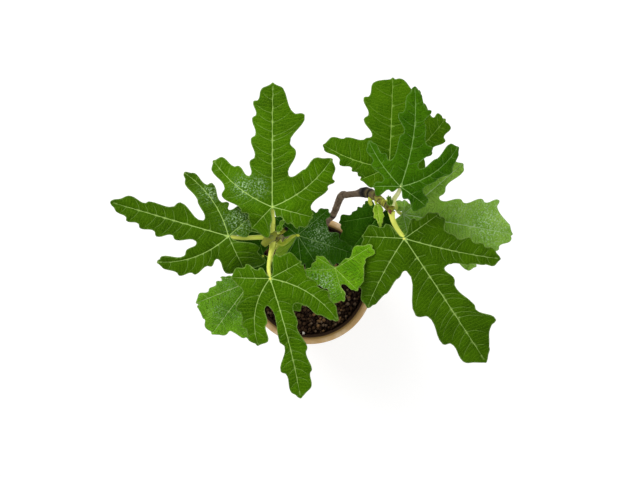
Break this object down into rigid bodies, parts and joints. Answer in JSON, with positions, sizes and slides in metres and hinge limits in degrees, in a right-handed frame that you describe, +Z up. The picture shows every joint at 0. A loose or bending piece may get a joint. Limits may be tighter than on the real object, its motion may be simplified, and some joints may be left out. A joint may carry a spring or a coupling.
{
  "type": "potted fig tree",
  "caption": "Young fig tree with a leaning forked stem and broad, deeply lobed leaves, in a round clay pot of granular soil.",
  "frame": {"origin": "centre of the pot's flat underside, on the surface that the pot stands on", "axes": "+Z up along the pot's axis; +X to the right and +Y to the top of the picture, seen from above"},
  "size_m": [0.3857, 0.3034, 0.4632],
  "materials": {
    "pot": "matte",
    "soil": "matte",
    "bark": "matte",
    "leaf": "satin"
  },
  "bodies": {
    "root": {"pot": "pot", "soil": "soil", "trunk": "bark", "left_limb": "bark", "right_limb": "bark", "right_elbow": "bark", "right_tip": "bark", "leaf_top_left": "leaf", "leaf_left": "leaf", "leaf_bottom": "leaf", "leaf_low_left": "leaf", "leaf_centre": "leaf", "leaf_under_left": "leaf", "leaf_top_right": "leaf", "leaf_back_right": "leaf", "leaf_bottom_right": "leaf", "leaf_right": "leaf", "leaf_under_right": "leaf", "leaf_curled": "leaf", "leaf_low_small": "leaf", "leaf_young_left": "leaf", "leaf_young_right": "leaf"}
  },
  "joints": []
}
